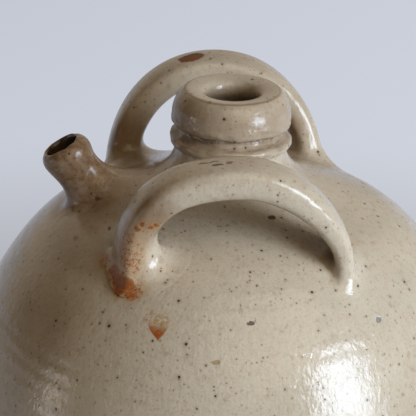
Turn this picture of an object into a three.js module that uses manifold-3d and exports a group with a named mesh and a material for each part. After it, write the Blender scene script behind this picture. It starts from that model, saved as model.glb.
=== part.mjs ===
// A round stoneware jug: two thrown halves, a neck, a pouring spout and two strap handles,
// luted together with coils and collars of clay. Millimetres, +Z up, the foot stands on z = 0,
// the spout leans to -X and the handles stand at -Y (front) and +Y (rear).
import * as THREE from "three";
import { mergeVertices } from "three/addons/utils/BufferGeometryUtils.js";
import Module from "manifold-3d";

const wasm = await Module();
wasm.setup();

// Clearance between luted pieces, and the blunt edge of a smoothed coil or collar
const fit = 0.3;
const featherEdge = 1.0;

// Body
const bodyRadius = 146;
const bellyHeight = 166;
const wall = 9;
const floorThickness = 12;
const footRadius = 84;
const footBevel = 4;
const footFlare = THREE.MathUtils.degToRad(60);
const footPull = 52;
const lowerBellyPull = 80;
const seamDepth = 4;

// Shoulder: a cone round the neck that rolls over into the belly
const shoulderShare = 0.562;
const shoulderRise = 118.3;
const shoulderSlope = THREE.MathUtils.degToRad(21.5);
const shoulderPull = 35.5;
const upperBellyPull = 55;

// Neck: its rise above the shoulder's edge, then heights measured down from the rim
const neckRise = 65.7;
const crestRadius = 24.8;
const rimRadius = 32;
const rimDrop = 12.2;
const rimRounding = 3.8;
const grooveRadius = 29.1;
const grooveDrop = 21.2;
const ringRadius = 32.3;
const ringTop = 24.4;
const ringDrop = 27.2;
const ringFoot = 31.5;
const neckRadius = 29.5;
const mouthRadius = 13.8;
const mouthDrop = 8;
const mouthDish = 1;
const neckBore = 19;
const neckBoreDrop = 32;
const neckTailRadius = 26.2;
const neckTail = 5;
const neckFlare = 48;

// Spout, its lengths measured out along its axis from the shoulder
const spoutShare = 0.51;
const spoutLean = THREE.MathUtils.degToRad(30);
const spoutLength = 34.3;
const spoutBore = 9.2;
const spoutRadius = 12.8;
const spoutBulge = 13.9;
const spoutLip = 10.4;
const spoutTail = 13;
const spoutCoilLift = 10;
const spoutCoilSpread = 8;
const spoutCoilSmear = 16;

// Strap handles: their seats as shares of the body's radius, heights from the shoulder's edge
const crownSeatShare = 0.562;
const footSeatShare = 0.466;
const strapWidth = 27;
const strapRoundness = 2.6;
const legDrop = 10.3;
const legOverrun = 45;

// Front handle: its crown, then each leg, the right one pulled thin
const frontRise = 47;
const frontTop = 0;
const frontThickness = 18.9;
const frontLeftShare = 0.389;
const frontLeftFullness = 0.67;
const frontLeftThickness = 14.5;
const frontLeftWidth = 31;
const frontLeftReach = 6;
const frontLeftTwist = -27;
const frontRightShare = 0.387;
const frontRightFullness = 0.48;
const frontRightThickness = 5;
const frontRightWidth = 20;
const frontRightReach = 12;

// Rear handle
const rearRise = 50.1;
const rearTop = -3.8;
const rearThickness = 17;
const rearLeftShare = 0.396;
const rearLeftFullness = 0.58;
const rearLeftThickness = 19;
const rearLeftWidth = 31;
const rearLeftReach = 6;
const rearRightShare = 0.346;
const rearRightFullness = 0.62;
const rearRightThickness = 19;
const rearRightWidth = 31;
const rearRightReach = 22;

// Collars round the feet of the handles
const innerReach = 13;
const collarSide = 7;
const collarLift = 10;
const collarClimb = 18;
const collarCore = 3;
const hollowTop = 0.6;

// Facets
const turns = 52;
const neckTurns = 40;
const spoutSides = 28;
const strapSides = 18;
const strapSteps = 28;
const outlineSteps = 9;

// Places that follow from the sizes above
const shoulderRadius = bodyRadius * shoulderShare;
const shoulderHeight = bellyHeight + shoulderRise;
const rimHeight = shoulderHeight + neckRise;
const spoutReach = bodyRadius * spoutShare;
const crownSeat = bodyRadius * crownSeatShare;
const footSeat = bodyRadius * footSeatShare;
const legHeight = shoulderHeight - legDrop;

const clay = {
  body: ["#b3a794", 0.3],
  neck: ["#ab9a80", 0.3],
  spout: ["#8d7d66", 0.35],
  strap: ["#b7ae9c", 0.3],
  coil: ["#a89a84", 0.35],
};

const jug = new THREE.Group();

function addPiece(name, geometry, [color, roughness]) {
  const material = new THREE.MeshStandardMaterial({ color, roughness, metalness: 0 });
  const piece = new THREE.Mesh(geometry, material);
  piece.name = name;
  jug.add(piece);
  return piece;
}

// Closed solids for the booleans

function toSolid(geometry) {
  const bare = new THREE.BufferGeometry();
  bare.setAttribute("position", geometry.getAttribute("position"));
  bare.setIndex(geometry.index);
  const merged = mergeVertices(bare, 1e-4);
  const mesh = new wasm.Mesh({
    numProp: 3,
    vertProperties: merged.attributes.position.array,
    triVerts: new Uint32Array(merged.index.array),
  });
  return new wasm.Manifold(mesh);
}

function toGeometry(solid) {
  const mesh = solid.getMesh();
  const geometry = new THREE.BufferGeometry();
  geometry.setAttribute("position", new THREE.BufferAttribute(mesh.vertProperties, 3));
  geometry.setIndex(new THREE.BufferAttribute(mesh.triVerts, 1));
  return geometry;
}

function cut(geometry, ...tools) {
  const left = tools.reduce((solid, tool) => solid.subtract(toSolid(tool)), toSolid(geometry));
  return toGeometry(left);
}

// A closed outline (radius, height), run anticlockwise, turned about the Z axis
function revolve(outline, segments = turns) {
  const closed = [...outline, outline[0]];
  return new THREE.LatheGeometry(closed, segments).rotateX(Math.PI / 2);
}

// An open outline moved along its own normals, to the right of its direction of travel
function offset(outline, distance) {
  return outline.map((point, i) => {
    const before = outline[Math.max(i - 1, 0)];
    const after = outline[Math.min(i + 1, outline.length - 1)];
    const along = after.clone().sub(before).normalize();
    return new THREE.Vector2(point.x + along.y * distance, point.y - along.x * distance);
  });
}

// Outer outlines of the body

function shoulderAt(radius) {
  return shoulderHeight + (shoulderRadius - radius) * Math.tan(shoulderSlope);
}

const neckHole = neckTailRadius + fit;

function upperOutline(steps) {
  const handle = new THREE.Vector2(Math.cos(shoulderSlope), -Math.sin(shoulderSlope));
  const pull = handle.multiplyScalar(shoulderPull);
  return new THREE.Path()
    .moveTo(bodyRadius, bellyHeight)
    .bezierCurveTo(
      bodyRadius, bellyHeight + upperBellyPull,
      shoulderRadius + pull.x, shoulderHeight + pull.y,
      shoulderRadius, shoulderHeight,
    )
    .lineTo(neckHole, shoulderAt(neckHole))
    .getPoints(steps);
}

function lowerOutline(steps) {
  const start = new THREE.Vector2(footRadius + footBevel, footBevel);
  return new THREE.Path()
    .moveTo(start.x, start.y)
    .bezierCurveTo(
      start.x + footPull * Math.cos(footFlare), start.y + footPull * Math.sin(footFlare),
      bodyRadius, bellyHeight - lowerBellyPull,
      bodyRadius, bellyHeight,
    )
    .getPoints(steps);
}

// Height of the shoulder's outer skin above any radius, and a point laid on it
const skin = upperOutline(200);

function skinHeight(radius) {
  const i = skin.findIndex((point) => point.x <= radius);
  if (i <= 0) return i < 0 ? shoulderAt(radius) : bellyHeight;
  const share = (radius - skin[i].x) / (skin[i - 1].x - skin[i].x);
  return THREE.MathUtils.lerp(skin[i].y, skin[i - 1].y, share);
}

function onSkin(x, y) {
  return new THREE.Vector3(x, y, skinHeight(Math.hypot(x, y)));
}

function skinNormal(point) {
  const step = 0.5;
  const radius = Math.hypot(point.x, point.y);
  const fall = (skinHeight(radius - step) - skinHeight(radius + step)) / (2 * step);
  return new THREE.Vector3((point.x / radius) * fall, (point.y / radius) * fall, 1).normalize();
}

// The whole upper body grown by the clearance, to scribe the pieces that stand on it
function shoulderTool() {
  const outline = offset(upperOutline(outlineSteps), fit);
  const top = outline.at(-1);
  const bottom = outline[0];
  const closing = [new THREE.Vector2(0, top.y), new THREE.Vector2(0, bottom.y)];
  return revolve([...outline, ...closing]);
}

// Lower body: flat foot, floor, and a V groove along the rim at the belly
function lowerBody() {
  const outer = lowerOutline(outlineSteps);
  const inner = offset(outer, -wall).filter((point) => point.y > floorThickness);
  inner.at(-1).set(bodyRadius - wall, bellyHeight);
  const rim = [
    new THREE.Vector2(bodyRadius - wall * 0.25, bellyHeight),
    new THREE.Vector2(bodyRadius - wall * 0.5, bellyHeight - seamDepth),
    new THREE.Vector2(bodyRadius - wall * 0.75, bellyHeight),
  ];
  const floor = [new THREE.Vector2(inner[0].x - wall, floorThickness), new THREE.Vector2(0, floorThickness)];
  const foot = [new THREE.Vector2(0, 0), new THREE.Vector2(footRadius, 0)];
  return revolve([...foot, ...outer, ...rim, ...inner.reverse(), ...floor]);
}

// Upper body: a tongue that drops into the groove, and the holes for neck and spout
function upperBody() {
  const outer = upperOutline(outlineSteps);
  outer[0].y += fit;
  const inner = offset(upperOutline(outlineSteps), -wall);
  inner[0].set(bodyRadius - wall, bellyHeight + fit);
  const hole = inner.at(-1);
  hole.x = neckHole;
  const tongue = [
    new THREE.Vector2(bodyRadius - wall * 0.75, bellyHeight + fit),
    new THREE.Vector2(bodyRadius - wall * 0.5, bellyHeight - seamDepth + 2 * fit),
    new THREE.Vector2(bodyRadius - wall * 0.25, bellyHeight + fit),
  ];
  const shell = revolve([...outer, ...inner.reverse(), ...tongue]);
  return cut(shell, spoutDrill());
}

// Neck: tail in the neck hole, seat on the shoulder, ring, groove and rolled rim
function neck() {
  const down = (drop) => rimHeight - drop;
  const seat = (radius) => shoulderAt(radius) + fit / Math.cos(shoulderSlope);
  const tailFoot = shoulderAt(neckHole) - wall - neckTail;
  const outline = new THREE.Path()
    .moveTo(neckBore, tailFoot)
    .lineTo(neckTailRadius, tailFoot)
    .lineTo(neckTailRadius, seat(neckTailRadius))
    .lineTo(neckRadius, seat(neckRadius))
    .lineTo(neckRadius, down(ringFoot))
    .lineTo(neckRadius + featherEdge, down(ringFoot))
    .splineThru([
      new THREE.Vector2(ringRadius, down(ringDrop)),
      new THREE.Vector2(ringRadius - 0.5, down(ringTop)),
      new THREE.Vector2(grooveRadius, down(grooveDrop)),
      new THREE.Vector2(rimRadius, down(rimDrop)),
      new THREE.Vector2(THREE.MathUtils.lerp(crestRadius, rimRadius, 0.72), down(rimRounding)),
      new THREE.Vector2(crestRadius, down(0)),
      new THREE.Vector2(THREE.MathUtils.lerp(mouthRadius, crestRadius, 0.45), down(mouthDish)),
      new THREE.Vector2(THREE.MathUtils.lerp(mouthRadius, crestRadius, 0.1), down(mouthDrop / 2)),
      new THREE.Vector2(mouthRadius, down(mouthDrop)),
      new THREE.Vector2(neckBore, down(neckBoreDrop)),
    ])
    .getPoints(2);
  return revolve(outline, neckTurns);
}

// Neck coil: seats on the shoulder, backs onto the neck, its hollow face runs out onto the cone
function neckLutingCoil() {
  const lift = fit / Math.cos(shoulderSlope);
  const back = neckRadius + fit;
  const top = rimHeight - ringFoot - fit;
  const face = back + featherEdge;
  const outline = new THREE.Path()
    .moveTo(back, shoulderAt(back) + lift)
    .lineTo(neckFlare, shoulderAt(neckFlare) + lift)
    .lineTo(neckFlare, shoulderAt(neckFlare) + lift + featherEdge)
    .quadraticCurveTo(face, shoulderAt(face) + lift + featherEdge, face, top)
    .lineTo(back, top)
    .getPoints(6);
  return revolve(outline, neckTurns);
}

// Everything within reach of the neck coil, with the clearance
function neckCoilTool() {
  const radius = neckFlare + fit;
  return new THREE.CylinderGeometry(radius, radius, 2 * rimHeight, neckTurns).rotateX(Math.PI / 2);
}

// The spout's axis leaves the shoulder at spoutReach and leans outwards
const spoutFoot = onSkin(-spoutReach, 0);
const spoutAxis = new THREE.Vector3(-Math.sin(spoutLean), 0, Math.cos(spoutLean));

function placeOnSpoutAxis(geometry) {
  return geometry.rotateY(-spoutLean).translate(spoutFoot.x, spoutFoot.y, spoutFoot.z);
}

// The spout hole, and the clearance round the tube above it
function spoutDrill() {
  const radius = spoutRadius + fit;
  const drill = new THREE.CylinderGeometry(radius, radius, 2 * spoutLength, spoutSides);
  return placeOnSpoutAxis(drill.rotateX(Math.PI / 2));
}

function spout() {
  const outline = new THREE.Path()
    .moveTo(spoutBore, -spoutTail)
    .lineTo(spoutRadius, -spoutTail)
    .lineTo(spoutRadius, spoutLength * 0.45)
    .splineThru([
      new THREE.Vector2(spoutRadius + 0.2, spoutLength * 0.62),
      new THREE.Vector2(spoutBulge, spoutLength * 0.82),
      new THREE.Vector2((spoutBulge + spoutLip) / 2 + 0.8, spoutLength * 0.96),
      new THREE.Vector2(spoutLip, spoutLength),
      new THREE.Vector2(spoutBore, spoutLength - 3),
    ])
    .getPoints(2);
  return placeOnSpoutAxis(revolve(outline, spoutSides));
}

// A ring of clay round a post that stands on the shoulder. post(height, angle, grow) is a point on
// the post's wall, height running up it, and sizeAt(outward) says how far the ring's hollow face
// climbs the wall and spreads over the skin that way. What lies inside the post or under the skin is
// cut away with the clearance.
function collar(post, sizeAt, sides, postTool) {
  const sections = [];
  for (let i = 0; i < sides; i += 1) {
    sections.push(collarSection(post, (i / sides) * 2 * Math.PI, sizeAt));
  }
  return cut(weaveSections(sections), shoulderTool(), postTool);
}

// Where the wall at this angle meets the skin, found by halving
function meetSkin(post, angle) {
  let low = -legOverrun;
  let high = legOverrun;
  for (let i = 0; i < 30; i += 1) {
    const middle = (low + high) / 2;
    const point = post(middle, angle);
    if (point.z > skinHeight(Math.hypot(point.x, point.y))) high = middle;
    else low = middle;
  }
  return low;
}

function collarSection(post, angle, sizeAt) {
  const height = meetSkin(post, angle);
  const corner = post(height, angle);
  const outward = corner.clone().sub(post(height, angle + Math.PI)).setZ(0).normalize();
  const { lift, spread } = sizeAt(outward);
  const trial = onSkin(corner.x + outward.x * spread, corner.y + outward.y * spread);
  const reach = spread ** 2 / trial.distanceTo(corner);
  const edge = onSkin(corner.x + outward.x * reach, corner.y + outward.y * reach);
  const thickness = fit + featherEdge;
  const faceFoot = edge.clone().addScaledVector(skinNormal(edge), thickness);
  const faceTop = post(height + lift, angle, thickness);
  // The face leaves the skin along the skin's own slope
  const slope = skinNormal(edge);
  const raise = Math.min(edge.clone().sub(corner).dot(slope) / slope.z, lift * hollowTop);
  const hollow = post(height + raise, angle, thickness).addScaledVector(skinNormal(corner), thickness);
  const face = new THREE.QuadraticBezierCurve3(faceFoot, hollow, faceTop).getPoints(6);
  const coreTop = post(height + lift, angle, -collarCore);
  const coreFoot = post(height, angle, -collarCore).addScaledVector(skinNormal(corner), -collarCore);
  const edgeFoot = edge.clone().addScaledVector(skinNormal(edge), -collarCore);
  return [coreFoot, edgeFoot, ...face, coreTop];
}

// Closed sections, set round a ring, woven into one closed surface
function weaveSections(sections) {
  const count = sections[0].length;
  const index = [];
  sections.forEach((section, i) => {
    const here = i * count;
    const next = ((i + 1) % sections.length) * count;
    for (let j = 0; j < count; j += 1) {
      const up = (j + 1) % count;
      index.push(here + j, next + j, next + up);
      index.push(here + j, next + up, here + up);
    }
  });
  return new THREE.BufferGeometry().setFromPoints(sections.flat()).setIndex(index);
}

function spoutLutingCoil() {
  const across = new THREE.Vector3(0, 1, 0).cross(spoutAxis);
  const side = new THREE.Vector3(0, 1, 0);
  const post = (height, angle, grow = 0) =>
    spoutFoot
      .clone()
      .addScaledVector(spoutAxis, height)
      .addScaledVector(across, (spoutRadius + grow) * Math.cos(angle))
      .addScaledVector(side, (spoutRadius + grow) * Math.sin(angle));
  const sizeAt = (outward) => ({
    lift: spoutCoilLift,
    spread: THREE.MathUtils.lerp(spoutCoilSpread, spoutCoilSmear, Math.max(outward.x, 0)),
  });
  return cut(collar(post, sizeAt, spoutSides, spoutDrill()), neckCoilTool());
}

// A strap handle: an arch over two straight legs, whose feet run on into the shoulder
function strapPath({ top, crown, left, right }) {
  const legFoot = legHeight - legOverrun;
  const haunch = (leg) => legHeight + (crown - legHeight) * leg.fullness;
  const shoulder = (leg) => top + (leg.x - top) * leg.fullness;
  return new THREE.Path()
    .moveTo(left.x, legFoot)
    .lineTo(left.x, legHeight)
    .bezierCurveTo(left.x, haunch(left), shoulder(left), crown, top, crown)
    .bezierCurveTo(shoulder(right), crown, right.x, haunch(right), right.x, legHeight)
    .lineTo(right.x, legFoot);
}

// A point on the strap's skin, at a share of the path's length and an angle round its section
function strapPoint(handle, path, share, angle, grow = 0) {
  const centre = path.getPoint(share);
  const along = path.getTangent(share);
  const power = (value) => Math.sign(value) * Math.abs(value) ** (2 / strapRoundness);
  const leg = share < 0.5 ? handle.left : handle.right;
  const change = Math.cos(Math.PI * share) ** 2;
  const thickness = THREE.MathUtils.lerp(handle.thickness, leg.thickness, change);
  const width = THREE.MathUtils.lerp(strapWidth, leg.width, change);
  const thick = power(Math.cos(angle)) * (thickness / 2 + grow);
  const wide = power(Math.sin(angle)) * (width / 2 + grow);
  const turned = new THREE.Vector2(thick, wide).rotateAround(new THREE.Vector2(), leg.twist * change);
  const y = strapSeat(handle, share) + turned.y;
  return new THREE.Vector3(centre.x - along.y * turned.x, y, centre.y + along.x * turned.x);
}

// The legs lean in towards the neck from the crown
function strapSeat(handle, share) {
  const seat = THREE.MathUtils.lerp(crownSeat, footSeat, Math.cos(Math.PI * share) ** 2);
  return handle.side * seat;
}

// The strap's skin is a capped rod bent along the path
function bentRod(handle, grow = 0) {
  const path = strapPath(handle);
  const rod = new THREE.CylinderGeometry(1, 1, 1, strapSides, strapSteps);
  const spots = rod.getAttribute("position");
  for (let i = 0; i < spots.count; i += 1) {
    const share = spots.getY(i) + 0.5;
    const angle = Math.atan2(spots.getZ(i), spots.getX(i));
    const onAxis = Math.hypot(spots.getX(i), spots.getZ(i)) < 0.5;
    const centre = path.getPoint(share);
    const point = onAxis
      ? new THREE.Vector3(centre.x, strapSeat(handle, share), centre.y)
      : strapPoint(handle, path, share, angle, grow);
    spots.setXYZ(i, point.x, point.y, point.z);
  }
  return rod;
}

function strap(handle) {
  return cut(bentRod(handle), shoulderTool());
}

// The angle round the section of the strap's skin that lies this way from its centre
function sectionAngle({ thickness, width }, heading) {
  const run = Math.abs(Math.cos(heading)) ** (strapRoundness / 2);
  const rise = Math.abs((Math.sin(heading) * thickness) / width) ** (strapRoundness / 2);
  return Math.atan2(Math.sign(Math.sin(heading)) * rise, Math.sign(Math.cos(heading)) * run);
}

function footCollar(handle, side) {
  const leg = side < 0 ? handle.left : handle.right;
  const path = strapPath(handle);
  const length = path.getLength();
  const post = (height, heading, grow = 0) => {
    const along = (legOverrun + height) / length;
    return strapPoint(handle, path, side < 0 ? along : 1 - along, side * sectionAngle(leg, heading), grow);
  };
  const sizeAt = (outward) => {
    const away = side * outward.x;
    const spread = THREE.MathUtils.lerp(collarSide, away > 0 ? leg.reach : innerReach, Math.abs(away));
    const lift = THREE.MathUtils.lerp(collarLift, Math.min(leg.reach, collarClimb), Math.abs(away));
    return { lift, spread };
  };
  return collar(post, sizeAt, strapSides, bentRod(handle, fit));
}

addPiece("lower_body", lowerBody(), clay.body);
addPiece("upper_body", upperBody(), clay.body);
addPiece("neck", neck(), clay.neck);
addPiece("neck_luting_coil", neckLutingCoil(), clay.coil);
addPiece("spout", spout(), clay.spout);
addPiece("spout_luting_coil", spoutLutingCoil(), clay.coil);

const handles = {
  front: {
    side: -1,
    crown: shoulderHeight + frontRise,
    top: frontTop,
    thickness: frontThickness,
    left: {
      x: -bodyRadius * frontLeftShare,
      fullness: frontLeftFullness,
      thickness: frontLeftThickness,
      width: frontLeftWidth,
      reach: frontLeftReach,
      twist: THREE.MathUtils.degToRad(frontLeftTwist),
    },
    right: {
      x: bodyRadius * frontRightShare,
      fullness: frontRightFullness,
      thickness: frontRightThickness,
      width: frontRightWidth,
      reach: frontRightReach,
      twist: 0,
    },
  },
  rear: {
    side: 1,
    crown: shoulderHeight + rearRise,
    top: rearTop,
    thickness: rearThickness,
    left: {
      x: -bodyRadius * rearLeftShare,
      fullness: rearLeftFullness,
      thickness: rearLeftThickness,
      width: rearLeftWidth,
      reach: rearLeftReach,
      twist: 0,
    },
    right: {
      x: bodyRadius * rearRightShare,
      fullness: rearRightFullness,
      thickness: rearRightThickness,
      width: rearRightWidth,
      reach: rearRightReach,
      twist: 0,
    },
  },
};

for (const [where, handle] of Object.entries(handles)) {
  addPiece(`${where}_handle`, strap(handle), clay.strap);
  addPiece(`${where}_left_foot_collar`, footCollar(handle, -1), clay.coil);
  addPiece(`${where}_right_foot_collar`, footCollar(handle, 1), clay.coil);
}

export default jug;
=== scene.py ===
import bmesh
import bpy
import math
from functools import reduce
from mathutils import Matrix, Vector, noise
from types import SimpleNamespace


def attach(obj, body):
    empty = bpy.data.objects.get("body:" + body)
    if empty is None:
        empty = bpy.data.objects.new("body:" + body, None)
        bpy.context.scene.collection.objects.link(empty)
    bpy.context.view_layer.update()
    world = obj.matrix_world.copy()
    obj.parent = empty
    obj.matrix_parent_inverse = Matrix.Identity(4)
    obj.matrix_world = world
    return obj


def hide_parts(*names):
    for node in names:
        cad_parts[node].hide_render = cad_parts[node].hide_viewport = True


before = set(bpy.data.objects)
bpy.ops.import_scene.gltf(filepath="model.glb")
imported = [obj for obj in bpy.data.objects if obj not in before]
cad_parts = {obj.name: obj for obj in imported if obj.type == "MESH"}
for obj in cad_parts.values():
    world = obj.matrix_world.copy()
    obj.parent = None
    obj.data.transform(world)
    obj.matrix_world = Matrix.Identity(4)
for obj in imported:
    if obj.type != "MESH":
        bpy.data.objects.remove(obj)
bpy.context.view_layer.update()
print("frame loaded:", len(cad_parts), "nodes")

mm = 0.001
scene = bpy.context.scene
scene.view_settings.view_transform = "Standard"


# Curves, in millimetres

def mix(a, b, share):
    return a + (b - a) * share


def ease(low, high, value):
    share = min(max((value - low) / (high - low), 0), 1)
    return share * share * (3 - 2 * share)


def bezier(points, steps):
    curve = []
    for i in range(steps + 1):
        row = [Vector(point) for point in points]
        while len(row) > 1:
            row = [a.lerp(b, i / steps) for a, b in zip(row, row[1:])]
        curve.append(row[0])
    return curve


def flowing(points, steps):  # a smooth line through every point
    points = [Vector(point) for point in points]
    last = len(points) - 1
    curve = [points[0]]
    for i in range(last):
        a, b = points[max(i - 1, 0)], points[i]
        c, d = points[i + 1], points[min(i + 2, last)]
        for j in range(1, steps + 1):
            t = j / steps
            pull = (c - a) * t + (2 * a - 5 * b + 4 * c - d) * t ** 2 + (3 * b - a - 3 * c + d) * t ** 3
            curve.append(b + pull * 0.5)
    return curve


def along(points, steps):  # a straight run, ends included
    return [points[0].lerp(points[1], i / steps) for i in range(steps + 1)]


# Meshes

hand = {  # how far clay strays from true; the foot stays flat and the rim level
    "swell": 0.30, "swellSize": 70, "ripple": 0.07, "rippleSize": 16,
    "aboveFoot": 30, "belowRim": 12, "rim": 350.2,
}
noise.seed_set(7)  # the same clay each run


def byHand(point):
    loose = ease(0, hand["aboveFoot"], point.z) * ease(0, hand["belowRim"], hand["rim"] - point.z)
    swell = noise.noise_vector(point / hand["swellSize"]) * hand["swell"]
    ripple = noise.noise_vector(point / hand["rippleSize"]) * hand["ripple"]
    return point + (swell + ripple) * loose


def makePiece(name, points, faces, node, slot, material, sharp=50):
    mesh = bpy.data.meshes.new(name)
    mesh.from_pydata([byHand(point) * mm for point in points], [], faces)
    work = bmesh.new()
    work.from_mesh(mesh)
    bmesh.ops.recalc_face_normals(work, faces=work.faces)
    work.to_mesh(mesh)
    work.free()
    mesh.shade_smooth()
    mesh.set_sharp_from_angle(angle=math.radians(sharp))
    mesh.materials.append(material)
    piece = bpy.data.objects.new(name, mesh)
    scene.collection.objects.link(piece)
    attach(piece, "root")
    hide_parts(node)
    return piece


# A closed outline of (radius, height) turned about the upright axis; radius 0 makes one point
def turned(outline, sides, place=lambda point: point):
    points, rings, faces = [], [], []
    for radius, height in outline:
        if radius < 1e-6:
            rings.append([len(points)] * sides)
            points.append(place(Vector((0, 0, height))))
            continue
        rings.append(list(range(len(points), len(points) + sides)))
        for i in range(sides):
            turn = 2 * math.pi * i / sides
            points.append(place(Vector((radius * math.cos(turn), radius * math.sin(turn), height))))
    pairs = list(zip(rings, rings[1:]))
    if outline[0][0] > 1e-6:
        pairs.append((rings[-1], rings[0]))
    for low, high in pairs:
        for i in range(sides):
            j = (i + 1) % sides
            corners = [low[i], low[j], high[j], high[i]]
            faces.append(list(dict.fromkeys(corners)))
    return points, faces


# Closed sections set round a ring
def woven(sections):
    count, size = len(sections), len(sections[0])
    points = [point for section in sections for point in section]
    faces = []
    for i in range(count):
        here, there = i * size, (i + 1) % count * size
        for j in range(size):
            k = (j + 1) % size
            faces.append([here + j, there + j, there + k, here + k])
    return points, faces


# Shader nodes: a wire is a socket, and sums on wires add Math nodes

class Wire:
    def __init__(self, tree, socket=None):
        self.tree = tree
        self.socket = socket

    def add(self, kind, settings=None, sockets=None, take=0):
        node = self.tree.nodes.new("ShaderNode" + kind)
        for name, value in (settings or {}).items():
            setattr(node, name, value)
        for name, value in (sockets or {}).items():
            if isinstance(value, Wire):
                self.tree.links.new(value.socket, node.inputs[name])
            else:
                node.inputs[name].default_value = value
        return Wire(self.tree, node.outputs[take]) if node.outputs else node

    def sum(self, operation, *values):
        return self.add("Math", {"operation": operation}, dict(enumerate(values)))

    def vector(self, operation, *others, take=0):
        return self.add("VectorMath", {"operation": operation}, dict(enumerate((self,) + others)), take)

    def __add__(self, other):
        return self.sum("ADD", self, other)

    def __sub__(self, other):
        return self.sum("SUBTRACT", self, other)

    def __mul__(self, other):
        return self.sum("MULTIPLY", self, other)

    def __truediv__(self, other):
        return self.sum("DIVIDE", self, other)

    def __rsub__(self, other):
        return self.sum("SUBTRACT", other, self)

    def __rtruediv__(self, other):
        return self.sum("DIVIDE", other, self)

    def __abs__(self):
        return self.sum("ABSOLUTE", self)

    __radd__ = __add__
    __rmul__ = __mul__

    def orMore(self, other):
        return self.sum("MAXIMUM", self, other)

    def orLess(self, other):
        return self.sum("MINIMUM", self, other)

    def step(self, low, high):  # 0 below low, 1 above high, eased between
        ends = {"Value": self, "From Min": low, "From Max": high}
        return self.add("MapRange", {"interpolation_type": "SMOOTHSTEP"}, ends)

    def tint(self, base, paint):  # base colour where this mask is 0, paint where it is 1
        return self.add("Mix", {"data_type": "RGBA"}, {0: self, 6: base, 7: paint}, take=2)

    def cloud(self, size, detail, rough=0.5, take=0):  # this wire is the place, size in millimetres
        sockets = {"Vector": self, "Scale": 1 / (size * mm), "Detail": detail, "Roughness": rough}
        return self.add("TexNoise", {}, sockets, take)

    def strayed(self, size, amount):  # this place, pushed about by a noise of that size
        push = self.cloud(size, 3, 0.6, take=1).vector("SUBTRACT", (0.5, 0.5, 0.5))
        return push.vector("MULTIPLY_ADD", (2 * amount * mm,) * 3, self)

    def stretched(self, scale):  # this place, scaled along each axis
        return self.vector("MULTIPLY", scale)

    def patch(self, centre, size, soft):  # 1 inside an ellipsoid of those half lengths
        offset = self.vector("SUBTRACT", [v * mm for v in centre])
        scaled = offset.vector("DIVIDE", [v * mm for v in size])
        return 1 - scaled.vector("LENGTH", take=1).step(1 - soft, 1 + soft)


def startNodes(owner):  # a clean node tree
    owner.use_nodes = True
    owner.node_tree.nodes.clear()
    return Wire(owner.node_tree)


def anyOf(masks):
    return reduce(Wire.orMore, masks)


def paint(red, green, blue):  # a colour as it looks on screen
    def linear(value):
        value /= 255
        return value / 12.92 if value <= 0.04045 else ((value + 0.055) / 1.055) ** 2.4
    return (linear(red), linear(green), linear(blue), 1)


# One continuous glaze over every piece, mixed further down once they all stand
bodyGlaze = bpy.data.materials.new("stonewareGlaze")


# Body: foot, belly and conical shoulder

body = {
    "radius": 146 - 0.25, "bellyHeight": 166, "wall": 9, "floor": 12,
    "footRadius": 84, "footBevel": 4, "footFlare": math.radians(60), "footPull": 52, "bellyPull": 80,
    "shoulderRadius": 82.05, "shoulderHeight": 284.3, "shoulderSlope": math.radians(21.5),
    "shoulderPull": 35.5, "upperPull": 55, "neckHole": 26.5, "sides": 160,
    "seamEdge": 0.5, "heelIn": 2, "heelOut": 2.4, "coveHeight": 2, "coveWidth": 8,
    "underside": [(0, 1.6), (40, 1.6), (70, 1.4), (74, 0)],  # radius, height of the hollow under the foot
    "floorMiddle": 40, "outerSteps": 60, "innerSteps": 30, "coneSteps": 12, "heelSteps": 5, "skinSteps": 300,
}


def coneHeight(radius):
    return body["shoulderHeight"] + (body["shoulderRadius"] - radius) * math.tan(body["shoulderSlope"])


def upperOutline(steps):
    slope, pull = body["shoulderSlope"], body["shoulderPull"]
    roll = bezier([
        (body["radius"], body["bellyHeight"]),
        (body["radius"], body["bellyHeight"] + body["upperPull"]),
        (body["shoulderRadius"] + pull * math.cos(slope), body["shoulderHeight"] - pull * math.sin(slope)),
        (body["shoulderRadius"], body["shoulderHeight"]),
    ], steps)
    top = Vector((body["neckHole"], coneHeight(body["neckHole"])))
    return roll + along([roll[-1], top], body["coneSteps"])[1:]


def lowerOutline(steps):
    start = Vector((body["footRadius"] + body["footBevel"], body["footBevel"]))
    flare, pull = body["footFlare"], body["footPull"]
    return bezier([
        start,
        (start.x + pull * math.cos(flare), start.y + pull * math.sin(flare)),
        (body["radius"], body["bellyHeight"] - body["bellyPull"]),
        (body["radius"], body["bellyHeight"]),
    ], steps)


def inward(outline, distance):  # the same line, moved in by the wall
    moved = []
    for i, point in enumerate(outline):
        way = (outline[min(i + 1, len(outline) - 1)] - outline[max(i - 1, 0)]).normalized()
        moved.append(Vector((point.x - way.y * distance, point.y + way.x * distance)))
    return moved


def lowerShell():
    floor, footRadius = body["floor"], body["footRadius"]
    outer = lowerOutline(body["outerSteps"])
    outer.insert(-1, outer[-1] - Vector((0, body["seamEdge"])))
    inner = inward(lowerOutline(body["innerSteps"]), body["wall"])
    inner = [point for point in inner if point.y > floor + body["coveHeight"]]
    inner[-1] = Vector((body["radius"] - body["wall"], body["bellyHeight"]))
    turn = [(footRadius - body["heelIn"], 0), (footRadius + body["heelOut"], 0), outer[0]]
    heel = bezier(turn, body["heelSteps"])
    under = [Vector(point) for point in body["underside"]]
    inside = [Vector((radius, floor)) for radius in (inner[0].x - body["coveWidth"], body["floorMiddle"], 0)]
    return turned(under + heel[:-1] + outer + inner[::-1] + inside, body["sides"])


def upperShell():
    outer = upperOutline(body["outerSteps"])
    outer.insert(1, outer[0] + Vector((0, body["seamEdge"])))
    inner = inward(upperOutline(body["innerSteps"]), body["wall"])
    inner[0] = Vector((body["radius"] - body["wall"], body["bellyHeight"]))
    inner[-1].x = body["neckHole"]
    return turned(outer + inner[::-1], body["sides"])


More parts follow.
